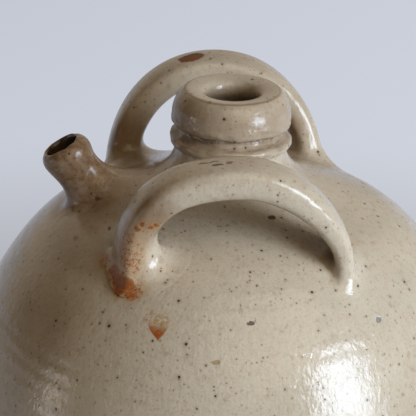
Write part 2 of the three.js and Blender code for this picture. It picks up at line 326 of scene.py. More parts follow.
makePiece("lowerBody", *lowerShell(), "lower_body", "body_glaze", bodyGlaze)
upper = makePiece("upperBody", *upperShell(), "upper_body", "body_glaze", bodyGlaze)
print("body thrown")

# Height of the shoulder's skin above a radius, and its upward normal
skin = upperOutline(body["skinSteps"])


def skinHeight(radius):
    for a, b in zip(skin, skin[1:]):
        if b.x <= radius <= a.x:
            return mix(b.y, a.y, (radius - b.x) / max(a.x - b.x, 1e-9))
    return coneHeight(radius) if radius < body["neckHole"] else body["bellyHeight"]


def onSkin(x, y):
    return Vector((x, y, skinHeight(math.hypot(x, y))))


def skinNormal(point):
    radius = math.hypot(point.x, point.y)
    fall = skinHeight(radius - 0.5) - skinHeight(radius + 0.5)
    return Vector((point.x / radius * fall, point.y / radius * fall, 1)).normalized()


# How clay is worked into a corner: the face's steps, the search for the corner, what is tucked out of sight
luting = {
    "steps": 18, "search": 40.0, "halvings": 30, "bend": 0.6,
    "tuck": 2.5, "sunk": 0.5, "under": 2, "over": 2.5, "overIn": 0.4, "core": 3,
}


# Neck: tail in the shoulder, raised ring, groove, rolled rim with a flat top

neck = {
    "rim": 350, "tailRadius": 26.2, "bore": 19, "radius": 29.5, "sides": 144,
    "profile": [  # radius, drop below the rim
        (29.9, 32.2), (31.2, 31.2), (32.6, 29.6), (33.0, 27.6), (32.7, 26.2), (31.6, 25.4), (29.4, 24.7),
        (27.9, 23.5), (27.3, 22), (27.7, 20.8), (29.2, 19.9), (30.9, 19.2), (31.9, 18.0), (32.3, 16),
        (32.2, 13.2), (31.7, 10), (30.8, 7), (29.5, 4.3), (28, 2.2), (26.4, 0.8), (24.9, 0.2), (23.4, 0.1),
        (21, 0.3), (18.5, 0.8), (16.6, 1.5), (15.2, 2.7), (14.3, 4.4), (13.9, 7), (13.9, 12), (15, 20),
        (19, 32),
    ],
    "profileSteps": 5, "sag": 1.1, "sagTurns": 1.3, "nick": 0.35, "nickTurns": 5, "nickHeight": 3,
    "sagBelow": (8, 19), "sagEnds": 32, "sagFade": 5,
    "seatLift": 0.4, "tailDrop": 5, "flareRadius": 54, "flareTop": 32, "flareLip": (0.8, 0.6),
    "flareTuck": (3, 0.5), "flareUnder": 2, "flareBack": 1.2, "flareRise": 0.2, "flareDrop": 1.6,
}


def sagging(point):  # the ring and groove were trimmed by hand and run up and down a little
    drop = neck["rim"] - point.z
    loose = ease(*neck["sagBelow"], drop) * ease(0, neck["sagFade"], neck["sagEnds"] - drop)
    turn = Vector((point.x, point.y, 0)).normalized()
    sag = noise.noise(turn * neck["sagTurns"]) * neck["sag"] * 2
    nickPlace = turn * neck["nickTurns"] + Vector((0, 0, drop / neck["nickHeight"]))
    nick = noise.noise(nickPlace) * neck["nick"] * 2
    return point + (Vector((0, 0, sag)) + turn * nick) * loose


def neckTube():
    line = flowing([(radius, neck["rim"] - drop) for radius, drop in neck["profile"]], neck["profileSteps"])
    seat = coneHeight(neck["radius"]) + neck["seatLift"]
    tail = coneHeight(body["neckHole"]) - body["wall"] - neck["tailDrop"]
    outline = [Vector((neck["bore"], tail)), Vector((neck["tailRadius"], tail))]
    outline += [Vector((neck["tailRadius"], seat)), Vector((neck["radius"], seat))] + line
    return turned(outline, neck["sides"], sagging)


# The coil round the neck, smeared out until it meets the cone
def neckFlare():
    out, up = neck["flareLip"]
    lip = Vector((neck["radius"] + out, neck["rim"] - neck["flareTop"] + up))
    edge = Vector((neck["flareRadius"], coneHeight(neck["flareRadius"])))
    corner = Vector((lip.x, coneHeight(lip.x)))
    face = bezier([edge, corner, lip], luting["steps"])
    beyond, below = neck["flareTuck"]
    sunk = Vector((edge.x + beyond, coneHeight(edge.x + beyond) - below))
    under = Vector((edge.x, edge.y - neck["flareUnder"]))
    inside = neck["radius"] - neck["flareBack"]
    back = [Vector((inside, lip.y + neck["flareRise"])), Vector((inside, corner.y - neck["flareDrop"]))]
    return turned([under, sunk] + face + back, neck["sides"])


makePiece("turnedNeck", *neckTube(), "neck", "neck_glaze", bodyGlaze)
makePiece("neckCoil", *neckFlare(), "neck_luting_coil", "coil_glaze", bodyGlaze)
print("neck turned and luted")


# Collars: a hollow face from the shoulder's skin up the wall of what stands on it

def meetSkin(post, heading):
    low, high = -luting["search"], luting["search"]
    for i in range(luting["halvings"]):
        middle = (low + high) / 2
        point = post(middle, heading, 0)
        if point.z > skinHeight(math.hypot(point.x, point.y)):
            high = middle
        else:
            low = middle
    return low


def collar(post, sizeAt, count):
    sections = []
    for i in range(count):
        heading = 2 * math.pi * i / count
        height = meetSkin(post, heading)
        corner = post(height, heading, 0)
        outward = corner - post(height, heading + math.pi, 0)
        outward.z = 0
        outward.normalize()
        spread, lift, lip = sizeAt(outward)
        trial = onSkin(corner.x + outward.x * spread, corner.y + outward.y * spread)
        reach = spread * spread / (trial - corner).length
        edge = onSkin(corner.x + outward.x * reach, corner.y + outward.y * reach)
        slope = skinNormal(edge)
        # the face leaves the skin along its slope
        raised = min((edge - corner).dot(slope) / slope.z, lift * luting["bend"])
        hollow = post(height + raised, heading, 0) + slope * lip
        face = bezier([edge + slope * lip, hollow, post(height + lift, heading, 0)], luting["steps"])
        beyond = onSkin(edge.x + outward.x * luting["tuck"], edge.y + outward.y * luting["tuck"])
        sunk = beyond.lerp(edge, min(lip, 1)) - slope * luting["sunk"]
        under = edge - slope * luting["under"]
        above = post(height + lift + luting["over"], heading, -luting["overIn"])
        core = post(height, heading, -luting["core"]) - skinNormal(corner) * luting["core"]
        sections.append([core, under, sunk] + face + [above])
    return woven(sections)


# Spout: a stubby tube with a thin rounded lip, leaning out over the shoulder

spout = {
    "reach": 74.46, "lean": math.radians(30), "length": 34.3, "bore": 8.9, "tail": 13, "sides": 84,
    "profileSteps": 4,
    "profile": [  # radius, share of the length
        (12.8, 0), (12.3, 0.14), (11.7, 0.3), (11.7, 0.42), (12.3, 0.55), (13.3, 0.69), (13.9, 0.81),
        (13.3, 0.905), (11.8, 0.968), (10.2, 1.0), (9.3, 0.985), (8.8, 0.93), (8.8, 0.8),
    ],
    "lift": 11, "spread": 8, "smear": 40, "climb": 24, "collarSides": 72,
    "chip": 0.5, "chipSize": 4, "chipFrom": 0.85,
    "hole": {"radius": 10.5, "from": -30, "to": 12, "sides": 48},  # through the shoulder, along the spout
}
spoutFoot = onSkin(-spout["reach"], 0)
spoutTurn = Matrix.Rotation(-spout["lean"], 3, "Y")


def onSpout(point):
    chip = noise.noise(Vector((point.x, point.y, 0)) / spout["chipSize"]) * spout["chip"]
    atLip = ease(spout["chipFrom"], 1, point.z / spout["length"])
    return spoutFoot + spoutTurn @ (point + Vector((0, 0, chip * atLip)))


def spoutTube():
    profile = [(radius, share * spout["length"]) for radius, share in spout["profile"]]
    line = flowing(profile, spout["profileSteps"])
    ends = [Vector((spout["bore"], -spout["tail"])), Vector((line[0].x, -spout["tail"]))]
    return turned(ends + line, spout["sides"], onSpout)


def spoutWall(height, heading, grow):
    radius = grow + spout["profile"][0][0]
    for (a, low), (b, high) in zip(spout["profile"], spout["profile"][1:]):
        share = height / spout["length"]
        if low <= share < high:
            radius = grow + mix(a, b, (share - low) / (high - low))
    return onSpout(Vector((radius * math.cos(heading), radius * math.sin(heading), height)))


def spoutSpread(outward):
    uphill = max(outward.x, 0)
    return mix(spout["spread"], spout["smear"], uphill), mix(spout["lift"], spout["climb"], uphill), 0


def pierceShoulder():
    hole = spout["hole"]
    radius, low, high = hole["radius"], hole["from"], hole["to"]
    outline = [(0, low), (radius, low), (radius, high), (0, high)]
    points, faces = turned(outline, hole["sides"], lambda point: spoutFoot + spoutTurn @ point)
    mesh = bpy.data.meshes.new("drill")
    mesh.from_pydata([point * mm for point in points], [], faces)
    drill = bpy.data.objects.new("drill", mesh)
    scene.collection.objects.link(drill)
    pierce = upper.modifiers.new("pierce", "BOOLEAN")
    pierce.object = drill
    pierce.solver = "EXACT"
    bpy.context.view_layer.update()
    upper.data = bpy.data.meshes.new_from_object(upper.evaluated_get(bpy.context.evaluated_depsgraph_get()))
    upper.modifiers.clear()
    bpy.data.objects.remove(drill)


makePiece("pouringSpout", *spoutTube(), "spout", "spout_glaze", bodyGlaze)
spoutFlare = collar(spoutWall, spoutSpread, spout["collarSides"])
makePiece("spoutCoil", *spoutFlare, "spout_luting_coil", "coil_glaze", bodyGlaze)
pierceShoulder()
print("spout set, shoulder pierced:", len(upper.data.polygons), "faces")


# Strap handles: pulled straps bent over between two feet on the shoulder

strap = {
    "crownSeat": 82.05, "footSeat": 68.04, "width": 27, "roundness": 2.9, "legHeight": 274, "overrun": 45,
    "around": 56, "steps": 140, "legSteps": 60, "bendSteps": 200, "collarSides": 96,
    "lipSide": (-0.25, 0.15), "lipFront": (-0.6, 0.1),  # where a foot's crisp ledge fades, seen round the leg
}
handles = {
    "front": {
        "side": -1, "crown": 331.3, "top": 0, "thickness": 18.9,
        "left": {"x": -56, "fullness": 0.67, "thickness": 14.5, "width": 28, "twist": math.radians(-20)},
        "right": {"x": 56.5, "fullness": 0.48, "thickness": 5, "width": 20, "twist": 0},
    },
    "rear": {
        "side": 1, "crown": 334.4, "top": -3.8, "thickness": 17,
        "left": {"x": -57.82, "fullness": 0.58, "thickness": 19, "width": 31, "twist": 0},
        "right": {"x": 49.6, "fullness": 0.62, "thickness": 15, "width": 31, "twist": math.radians(37)},
    },
}
feet = {  # how far the clay is smeared out and up, on each side of a leg
    "frontLeft": {"out": (3.5, 6), "in": (24, 29), "front": (6, 9), "back": (9, 8), "lip": 1.2},
    "frontRight": {"out": (10, 14), "in": (4, 4), "front": (14, 16), "back": (10, 10), "lip": 0},
    "rearLeft": {"out": (6, 8), "in": (24, 17), "front": (14, 14), "back": (9, 10), "lip": 0},
    "rearRight": {"out": (22, 18), "in": (13, 13), "front": (9, 10), "back": (9, 10), "lip": 0},
}


def strapLine(handle):
    crown, top = handle["crown"], handle["top"]
    foot, leg = strap["legHeight"] - strap["overrun"], strap["legHeight"]
    halves = []
    for side in ("left", "right"):
        x, fullness = handle[side]["x"], handle[side]["fullness"]
        haunch = (x, mix(leg, crown, fullness))
        half = along([Vector((x, foot)), Vector((x, leg))], strap["legSteps"])
        bend = [(x, leg), haunch, (mix(top, x, fullness), crown), (top, crown)]
        half += bezier(bend, strap["bendSteps"])[1:]
        halves.append(half)
    line = halves[0] + halves[1][-2::-1]
    far = [0.0]
    for a, b in zip(line, line[1:]):
        far.append(far[-1] + (b - a).length)
    return line, far


def strapWall(handle, line, far):
    def bulge(value):
        return math.copysign(abs(value) ** (2 / strap["roundness"]), value)

    def wall(distance, angle, grow):
        i = 0
        while i < len(far) - 2 and far[i + 1] < distance:
            i += 1
        share = (distance - far[i]) / (far[i + 1] - far[i])
        centre = line[i].lerp(line[i + 1], share)
        before = (line[i] - line[max(i - 1, 0)]) if i else line[1] - line[0]
        way = before.normalized().lerp((line[i + 1] - line[i]).normalized(), 0.5 + share * 0.5).normalized()
        leg = handle["left"] if distance < far[-1] / 2 else handle["right"]
        change = math.cos(math.pi * distance / far[-1]) ** 2
        thick = bulge(math.cos(angle)) * (mix(handle["thickness"], leg["thickness"], change) / 2 + grow)
        wide = bulge(math.sin(angle)) * (mix(strap["width"], leg["width"], change) / 2 + grow)
        spot = Matrix.Rotation(leg["twist"] * change, 2) @ Vector((thick, wide))
        seat = handle["side"] * mix(strap["crownSeat"], strap["footSeat"], change)  # the legs lean in
        return Vector((centre.x - way.y * spot.x, seat + spot.y, centre.y + way.x * spot.x))
    return wall


def strapRod(handle):
    line, far = strapLine(handle)
    wall = strapWall(handle, line, far)
    points, faces = [], []
    around = strap["around"]
    for i in range(strap["steps"] + 1):
        for j in range(around):
            points.append(wall(far[-1] * i / strap["steps"], 2 * math.pi * j / around, 0))
    for i in range(strap["steps"]):
        for j in range(around):
            here, there = i * around, (i + 1) * around
            k = (j + 1) % around
            faces.append([here + j, here + k, there + k, there + j])
    faces.append(list(range(around)))
    faces.append(list(range(len(points) - around, len(points))))
    return points, faces


def sectionAngle(leg, heading):
    power = strap["roundness"] / 2
    run = math.copysign(abs(math.cos(heading)) ** power, math.cos(heading))
    squash = leg["thickness"] / leg["width"]
    rise = math.copysign(abs(math.sin(heading) * squash) ** power, math.sin(heading))
    return math.atan2(rise, run)


def footCollar(handle, side, foot):
    line, far = strapLine(handle)
    wall = strapWall(handle, line, far)
    leg = handle["left"] if side < 0 else handle["right"]

    def post(height, heading, grow):
        run = strap["overrun"] + height
        return wall(run if side < 0 else far[-1] - run, side * sectionAngle(leg, heading), grow)

    def sizeAt(outward):
        away, ahead = side * outward.x, -outward.y
        across = foot["out"] if away > 0 else foot["in"]
        beside = foot["front"] if ahead > 0 else foot["back"]
        spread, lift = [a * away ** 2 + b * ahead ** 2 for a, b in zip(across, beside)]
        lip = foot["lip"] * ease(*strap["lipSide"], away) * ease(*strap["lipFront"], ahead)
        return spread, lift, lip

    return collar(post, sizeAt, strap["collarSides"])


for where, handle in handles.items():
    makePiece(where + "Handle", *strapRod(handle), where + "_handle", "strap_glaze", bodyGlaze)
    for sideName, side in (("left", -1), ("right", 1)):
        name = where + sideName.capitalize()
        foot = footCollar(handle, side, feet[name])
        makePiece(name + "Foot", *foot, f"{where}_{sideName}_foot_collar", "coil_glaze", bodyGlaze)
print("handles pulled and luted")


# Glaze: buff stoneware with iron specks, thin and brown on the neck and spout. All lengths in millimetres.
# A cut or a pair of lengths is from where to where a look comes in, a share is how much of it shows

glaze = {
    "buff": paint(185, 171, 151),
    "grey": paint(174, 161, 141),
    "cream": paint(198, 187, 167),
    "milk": paint(203, 192, 173),
    "tan": paint(160, 134, 100),
    "umber": paint(131, 104, 76),
    "brown": paint(94, 64, 41),
    "rust": paint(150, 74, 5),
    "ochre": paint(163, 119, 56),
    "ironAndShade": paint(44, 32, 25),
    "slate": paint(122, 124, 126),
    "bareClay": paint(186, 158, 122),
    "shine": 0.43, "gloss": 0.09, "uneven": 0.06, "thinDull": 0.07, "bareDull": 0.45, "rustDull": 0.3,
}
clouds = {  # size, detail, roughness
    "drift": (110, 3, 0.5), "mottle": (24, 5, 0.62), "grain": (4.5, 4, 0.62), "fine": (1.1, 2, 0.6),
}


# Shared by every coat: where a point lies, and the clouds
def sampleField(start):
    place = start.add("TexCoord", take=3)
    x, y, height = [start.add("SeparateXYZ", {}, {0: place}, take=i) / mm for i in range(3)]
    radial = place.stretched((1, 1, 0)).vector("LENGTH", take=1) / mm
    shared = {name: place.cloud(*cloud) for name, cloud in clouds.items()}
    return SimpleNamespace(place=place, x=x, y=y, height=height, radial=radial, **shared)


# Each coat takes the colour so far, gives the next one, and leaves its masks in the field

ground = {
    "greyCut": (0.36, 0.68), "creamCut": (0.46, 0.70), "creamShare": 0.6,
    "litFront": ((8, -98, 272), (66, 60, 52), 0.9), "litFrontShare": 0.6,  # painted light: the front of the belly below the front handle is painted paler
    "tanCut": (0.46, 0.80), "tanShare": 0.36, "dustCut": (0.48, 0.78), "dustShare": 0.34,
    "fleck": (3.1, 3, 0.7), "fleckCut": (0.58, 0.74), "fleckDrift": (0.3, 0.7), "fleckShare": 0.5,
}


def groundCoat(field, colour):
    place, drift = field.place, field.drift
    colour = field.mottle.step(*ground["greyCut"]).tint(colour, glaze["grey"])
    colour = (drift.step(*ground["creamCut"]) * ground["creamShare"]).tint(colour, glaze["cream"])
    # painted light: a paler milk patch on the front of the belly
    colour = (place.patch(*ground["litFront"]) * ground["litFrontShare"]).tint(colour, glaze["milk"])
    colour = (field.grain.step(*ground["tanCut"]) * ground["tanShare"]).tint(colour, glaze["tan"])
    colour = (field.fine.step(*ground["dustCut"]) * ground["dustShare"]).tint(colour, glaze["tan"])
    flecks = place.cloud(*ground["fleck"]).step(*ground["fleckCut"]) * drift.step(*ground["fleckDrift"])
    return (flecks * ground["fleckShare"]).tint(colour, glaze["ochre"])


thinness = {
    "stray": (30, 10), "washSoft": 0.8, "least": 0.55, "mottled": 0.8,
    "spoutTube": ((-86, 0, 308), (25, 25, 33), 0.3), "spoutShare": 0.95,
    "skirt": ((-68, -12, 290), (38, 34, 13), 0.5), "skirtShare": 0.55,
    "neckHeight": (316, 328), "neckRadius": (34, 38), "neckShare": 0.95,
    "shadedLeftX": (-34, -12), "shadedLeftShare": 0.5, "rimHeight": (341, 349), "litRimLess": 0.5,
    "topHeight": (345, 348), "topRadius": (23, 26), "litTopShare": 0.7, "litTopLess": 0.6,
    "crestRadius": 25.6, "crestWander": 2, "crestWidth": (0.3, 1.3), "crestHeight": (345, 347),
    "crestShare": 0.8,
    "wiping": (1.5, 3, 0.6), "wipingScale": (0.13, 0.13, 1),  # level streaks from the turning
    "grime": (3, 4, 0.7), "grimeCut": (0.42, 0.68), "grimeShare": 0.7,
    "lowNeck": (324, 333), "lowNeckCut": (0.45, 0.75), "lowNeckShare": 0.6,
}
# painted shade: the washes on the rear left foot, the front handle's left leg and the left shoulder are
# stains deepened to shade the left side
stainsAndShade = [  # brown washes: stains, partly painted shade; the last three are painted warm shade only
    {"at": (-57, 61, 297), "size": (13, 12, 18), "level": 1.0},
    {"at": (-72, -18, 289.5), "size": (16, 11, 8), "level": 0.9},
    {"at": (-56, 2, 297), "size": (24, 22, 10), "level": 0.85},
    {"at": (-49, -90, 313), "size": (14, 8, 15), "level": 0.95},
    {"at": (-65, -79, 291), "size": (9, 11, 19), "level": 0.9},
    {"at": (-80, -38, 280), "size": (32, 32, 15), "level": 0.4},
    {"at": (-60, -30, 293), "size": (18, 16, 9), "level": 0.75},
    {"at": (43, -62, 287), "size": (13, 14, 10), "level": 0.6},
    {"at": (-102, -66, 248), "size": (20, 28, 34), "level": 0.36},
    {"at": (37, 68, 301), "size": (7, 9, 10), "level": 1.1},
]


# Thin glaze turns brown on the spout, its skirt, the neck, the rim's crest and the washes; the neck's left
# side and the shade washes are painted shade, and the rim's top is painted paler as painted light
def thinCoat(field, colour):
    look, place, height, radial = thinness, field.place, field.height, field.radial
    warm = place.strayed(*look["stray"])
    onSpoutTube = warm.patch(*look["spoutTube"])
    skirt = warm.patch(*look["skirt"])
    onNeck = height.step(*look["neckHeight"]) * (1 - radial.step(*look["neckRadius"]))
    # painted light: the neck's brown is halved towards the rim, which is lit from above
    field.onNeck = onNeck * (1 - height.step(*look["rimHeight"]) * look["litRimLess"])
    # painted shade: the neck's left side is painted browner than its right
    neckShare = look["neckShare"] - field.x.step(*look["shadedLeftX"]) * look["shadedLeftShare"]
    thin = anyOf([onSpoutTube * look["spoutShare"], skirt * look["skirtShare"], field.onNeck * neckShare])

    # painted light: the rim's flat top is painted cream and kept less brown
    litRimTop = height.step(*look["topHeight"]) * (1 - radial.step(*look["topRadius"]))
    colour = (litRimTop * look["litTopShare"]).tint(colour, glaze["cream"])
    fromCrest = abs(radial - look["crestRadius"] + (field.mottle - 0.5) * look["crestWander"])
    crest = (1 - fromCrest.step(*look["crestWidth"])) * height.step(*look["crestHeight"])
    thin = (thin * (1 - litRimTop * look["litTopLess"])).orMore(crest * look["crestShare"])
    # painted shade: the last three washes darken shaded places; those on the left side are stains partly
    # painted as shade
    washesAndShade = [warm.patch(wash["at"], wash["size"], look["washSoft"]) * wash["level"] for wash in stainsAndShade]
    field.thin = anyOf([thin] + washesAndShade)
    colour = (field.thin * (look["least"] + field.mottle * look["mottled"])).tint(colour, glaze["umber"])

    field.wiping = place.stretched(look["wipingScale"]).cloud(*look["wiping"])
    spoutGrime = onSpoutTube * place.cloud(*look["grime"]).step(*look["grimeCut"]) * look["grimeShare"]
    lowNeck = field.onNeck * (1 - height.step(*look["lowNeck"]))
    neckGrime = lowNeck * field.wiping.step(*look["lowNeckCut"]) * look["lowNeckShare"]
    return spoutGrime.orMore(neckGrime).tint(colour, glaze["brown"])


specks = [  # spacing, largest radius, share of the cells that are filled, colour
    {"size": 2.6, "most": 0.4, "share": 0.6, "tone": "brown"},
    {"size": 4.4, "most": 0.62, "share": 0.7, "tone": "brown"},
    {"size": 6.2, "most": 0.82, "share": 0.7, "tone": "ironAndShade"},
    {"size": 13, "most": 1.15, "share": 0.6, "tone": "ironAndShade"},
]
speckEdge = {
    "stray": (1.5, 0.18), "fillStep": 0.02, "fullLot": 1.1, "dot": (-0.16, 0.12), "dotShare": 0.9,
    "haloReach": 2, "halo": (-0.3, 0.6), "haloShare": 0.22,
}


# Iron specks: each cell of a grid has a spot of its own size with a faint halo
def speckCoat(field, colour):
    look = speckEdge
    jitter = field.place.strayed(*look["stray"])
    dots = []
    for kind in specks:
        cell = {"Vector": jitter, "Scale": 1 / (kind["size"] * mm), "Randomness": 1}
        away = jitter.add("TexVoronoi", {}, cell) * kind["size"]
        tag = jitter.add("TexVoronoi", {}, cell, take=1)
        lot = tag.add("SeparateColor", {}, {0: tag})
        empty = 1 - kind["share"]
        filled = lot.step(empty, empty + look["fillStep"])
        reach = lot.step(empty, look["fullLot"]) * kind["most"]
        dot = (1 - (away - reach).step(*look["dot"])) * filled
        halo = (1 - (away - reach * look["haloReach"]).step(*look["halo"])) * filled
        colour = (halo * look["haloShare"]).tint(colour, glaze["umber"])
        colour = (dot * look["dotShare"]).tint(colour, glaze[kind["tone"]])
        dots.append(dot)
    field.pitted = anyOf(dots)
    return colour


rust = {
    "ledge": (-68.2, -75.8, 268.8), "uphill": (0.694, 0.091, 0.714), "ledgeEdge": (-0.8, 0.8),  # ends here
    "stray": (5, 2.6), "streak": (1.9, 4, 0.7), "dots": (1.5, 3, 0.6), "flushSoft": 0.6,
    "flushHaze": 0.85, "rimCut": (0.42, 0.62), "rimHaze": 0.8, "hazeLeast": 0.45, "hazeStreak": 0.8,
    "flushLift": 0.5, "cut": (0.82, 1.02), "solidCut": (0.2, 0.42), "share": 0.96,
    "dotLift": 0.44, "dotCut": (0.86, 1.0), "dotShare": 0.6,
}
rustFlush = [  # thick along the ledge of the front left foot, thinner up the leg
    {"at": (-64, -79, 277), "size": (6, 7, 6), "level": 0.95},
    {"at": (-60, -85.5, 274), "size": (7, 7, 7), "level": 1.15},
    {"at": (-56, -89, 271.5), "size": (6, 6, 5), "level": 1.0},
    {"at": (-69, -68, 279), "size": (5.5, 8, 5), "level": 0.8},
    {"at": (-51.5, -89.5, 274), "size": (5, 5, 4.5), "level": 0.75},
    {"at": (-52.3, -90.5, 306.6), "size": (1.9, 3, 2), "level": 1.02},
    {"at": (-49.8, -91, 309.6), "size": (1.8, 3, 1.6), "level": 1.02},
    {"at": (-45.6, -90.6, 307), "size": (1.8, 3, 1.4), "level": 1.02},
    {"at": (-42.8, -90.6, 308.8), "size": (1.8, 3, 1.6), "level": 1.02},
    {"at": (-57, -87.5, 292), "size": (10, 9, 20), "level": 0.74},
]
drip = {  # runs down from the ledge to a point
    "x": -42, "apex": 254, "brim": 259.5, "widen": 0.9, "front": (-60, -50), "noise": (9, 2), "wander": 4,
    "edge": (-0.5, 0.7), "ragged": 9, "solidTop": (2.2, 6.2), "rimTop": (2, 8.5), "rimWidth": (4, 8),
}


# Rust: the foot's ledge and leg, and the drip below
def rustCoat(field, colour):
    place, height = field.place, field.height
    ragged = place.strayed(*rust["stray"])
    streak = place.cloud(*rust["streak"])
    dots = place.cloud(*rust["dots"])
    flush = [ragged.patch(spot["at"], spot["size"], rust["flushSoft"]) * spot["level"] for spot in rustFlush]
    fromLedge = ragged.vector("SUBTRACT", Vector(rust["ledge"]) * mm)
    uphill = fromLedge.vector("DOT_PRODUCT", rust["uphill"], take=1) / mm
    field.flush = anyOf(flush) * uphill.step(*rust["ledgeEdge"])

    beside = abs(field.x - drip["x"] + (place.cloud(*drip["noise"]) - 0.5) * drip["wander"])
    inside = ((height - drip["apex"]) * drip["widen"] - beside).step(*drip["edge"])
    inside = inside * (1 - field.y.step(*drip["front"]))
    aboveBrim = height - drip["brim"]
    solid = inside * (1 - (aboveBrim + streak * drip["ragged"]).step(*drip["solidTop"]))
    rim = inside * (1 - beside.step(*drip["rimWidth"])) * (1 - aboveBrim.step(*drip["rimTop"]))

    haze = (field.flush * rust["flushHaze"]).orMore(rim * streak.step(*rust["rimCut"]) * rust["rimHaze"])
    colour = (haze * (rust["hazeLeast"] + streak * rust["hazeStreak"])).tint(colour, glaze["ochre"])
    onFlush = (streak + field.flush * rust["flushLift"]).step(*rust["cut"])
    field.rusty = onFlush.orMore(solid * streak.step(*rust["solidCut"]))
    colour = (field.rusty * rust["share"]).tint(colour, glaze["rust"])
    dotted = (dots + field.flush * rust["dotLift"]).step(*rust["dotCut"])
    return (dotted * rust["dotShare"]).tint(colour, glaze["brown"])


chip = {"at": (-18.3, 78.5, 341), "size": (8.5, 5, 4), "soft": 0.10, "stray": (5, 3.4), "rustCut": (0.4, 0.6)}
crack = {
    "from": (-23, -21), "to": (-13, -11), "y": -81.5, "width": (0.18, 0.72), "above": (330, 334),
    "noise": (5, 2), "wander": 5, "share": 0.8,
}
spots = [  # single marks, centre and half lengths
    {"at": (4.4, -109.5, 263.8), "size": (2.0, 2.0, 0.9), "tone": "ironAndShade"},
    {"at": (72.2, -90.6, 256.3), "size": (1.5, 2.0, 1.8), "tone": "slate"},
    {"at": (19.3, -49.7, 295.6), "size": (2.2, 1.8, 2.0), "tone": "ironAndShade"},
    {"at": (-13.1, -86.1, 339.7), "size": (2.8, 1.1, 2.0), "tone": "ironAndShade"},
    {"at": (-7.1, -84.8, 340.3), "size": (1.7, 1.5, 2.0), "tone": "brown"},
    {"at": (-73, -16, 292), "size": (6, 1.2, 1.1), "tone": "brown"},
    {"at": (-83.3, -40, 278.8), "size": (1.3, 2.2, 1.2), "tone": "umber"},
    {"at": (-65.9, -42.3, 285.7), "size": (1.1, 2.0, 1.2), "tone": "brown"},
    {"at": (-13.4, -121.4, 247.9), "size": (2.4, 2.0, 0.8), "tone": "tan"},
]
spotEdge = {"stray": (3.5, 1.4), "soft": 0.25, "share": 0.85}


# Scars: a chip on the rear crown, a firing crack on the front one, single marks
def scarCoat(field, colour):
    place = field.place
    field.chipped = place.strayed(*chip["stray"]).patch(chip["at"], chip["size"], chip["soft"])
    bare = field.mottle.step(*chip["rustCut"]).tint(glaze["brown"], glaze["rust"])
    colour = field.chipped.tint(colour, bare)

    fromCrack = abs(field.y - crack["y"] + (place.cloud(*crack["noise"]) - 0.5) * crack["wander"])
    within = field.x.step(*crack["from"]) * (1 - field.x.step(*crack["to"]))
    within = within * field.height.step(*crack["above"])
    field.cracked = (1 - fromCrack.step(*crack["width"])) * within
    colour = (field.cracked * crack["share"]).tint(colour, glaze["brown"])

    close = place.strayed(*spotEdge["stray"])
    marks = [close.patch(spot["at"], spot["size"], spotEdge["soft"]) for spot in spots]
    for mark, spot in zip(marks, spots):
        colour = (mark * spotEdge["share"]).tint(colour, glaze[spot["tone"]])
    field.marked = anyOf(marks)
    return colour


dirtAndShade = {
    "grooveDrop": 21, "grooveWander": 5, "grooveWidth": (0.5, 2.2), "grooveRadius": (31.9, 32.8),
    "smoke": (4, 3, 0.65), "smokeCut": (0.36, 0.58), "share": 0.62,
    "ringFrom": (316, 319), "ringTo": (324, 329), "ringX": (-30, -22),
    # painted shade: how far down the spout's bore and the neck's mouth are painted near black
    "spoutRadius": (9.0, 9.9), "spoutHeight": (-25, -15), "boreShadeShare": 0.9,
    "mouthFrom": (300, 310), "mouthTo": (339, 346), "mouthRadius": (15, 18), "mouthShadeShare": 0.8,
}


# Dirt in the groove under the rim, darker brown on the left of the ring, and painted shade: the spout's bore
# and the neck's mouth are painted near black
def dirtAndShadeCoat(field, colour):
    place, height, radial = field.place, field.height, field.radial
    aboveGroove = height - neck["rim"] + dirtAndShade["grooveDrop"]
    fromGroove = abs(aboveGroove + (field.mottle - 0.5) * dirtAndShade["grooveWander"])
    groove = (1 - fromGroove.step(*dirtAndShade["grooveWidth"])) * (1 - radial.step(*dirtAndShade["grooveRadius"]))
    groove = groove * place.cloud(*dirtAndShade["smoke"]).step(*dirtAndShade["smokeCut"])
    onRing = height.step(*dirtAndShade["ringFrom"]) * (1 - height.step(*dirtAndShade["ringTo"])) * field.onNeck
    onRing = onRing * (1 - field.x.step(*dirtAndShade["ringX"])) * field.mottle
    colour = (groove.orMore(onRing) * dirtAndShade["share"]).tint(colour, glaze["brown"])

    # painted shade: the insides of the spout and the mouth are painted dark
    axis = spoutTurn @ Vector((0, 0, 1))
    fromFoot = place.vector("SUBTRACT", spoutFoot * mm)
    fromAxis = fromFoot.vector("CROSS_PRODUCT", axis).vector("LENGTH", take=1) / mm
    upSpout = fromFoot.vector("DOT_PRODUCT", axis, take=1) / mm
    spoutBoreShade = (1 - fromAxis.step(*dirtAndShade["spoutRadius"])) * upSpout.step(*dirtAndShade["spoutHeight"])
    mouthShade = height.step(*dirtAndShade["mouthFrom"]) * (1 - height.step(*dirtAndShade["mouthTo"]))
    mouthShade = mouthShade * (1 - radial.step(*dirtAndShade["mouthRadius"])) * dirtAndShade["mouthShadeShare"]
    return (spoutBoreShade.orMore(mouthShade) * dirtAndShade["boreShadeShare"]).tint(colour, glaze["ironAndShade"])


bareFoot = {"line": (9, 11.5), "wander": 4, "tanShare": 0.5}


# The foot is wiped clean of glaze
def footCoat(field, colour):
    field.wiped = 1 - (field.height + field.mottle * bareFoot["wander"]).step(*bareFoot["line"])
    clay = (field.grain * bareFoot["tanShare"]).tint(glaze["bareClay"], glaze["tan"])
    return field.wiped.tint(colour, clay)


def roughOf(field):
    rough = glaze["gloss"] + (field.fine + field.grain) * glaze["uneven"] + field.thin * glaze["thinDull"]
    rough = rough + field.wiped.orMore(field.chipped) * glaze["bareDull"]
    return rough + field.rusty.orMore(field.flush) * glaze["rustDull"]


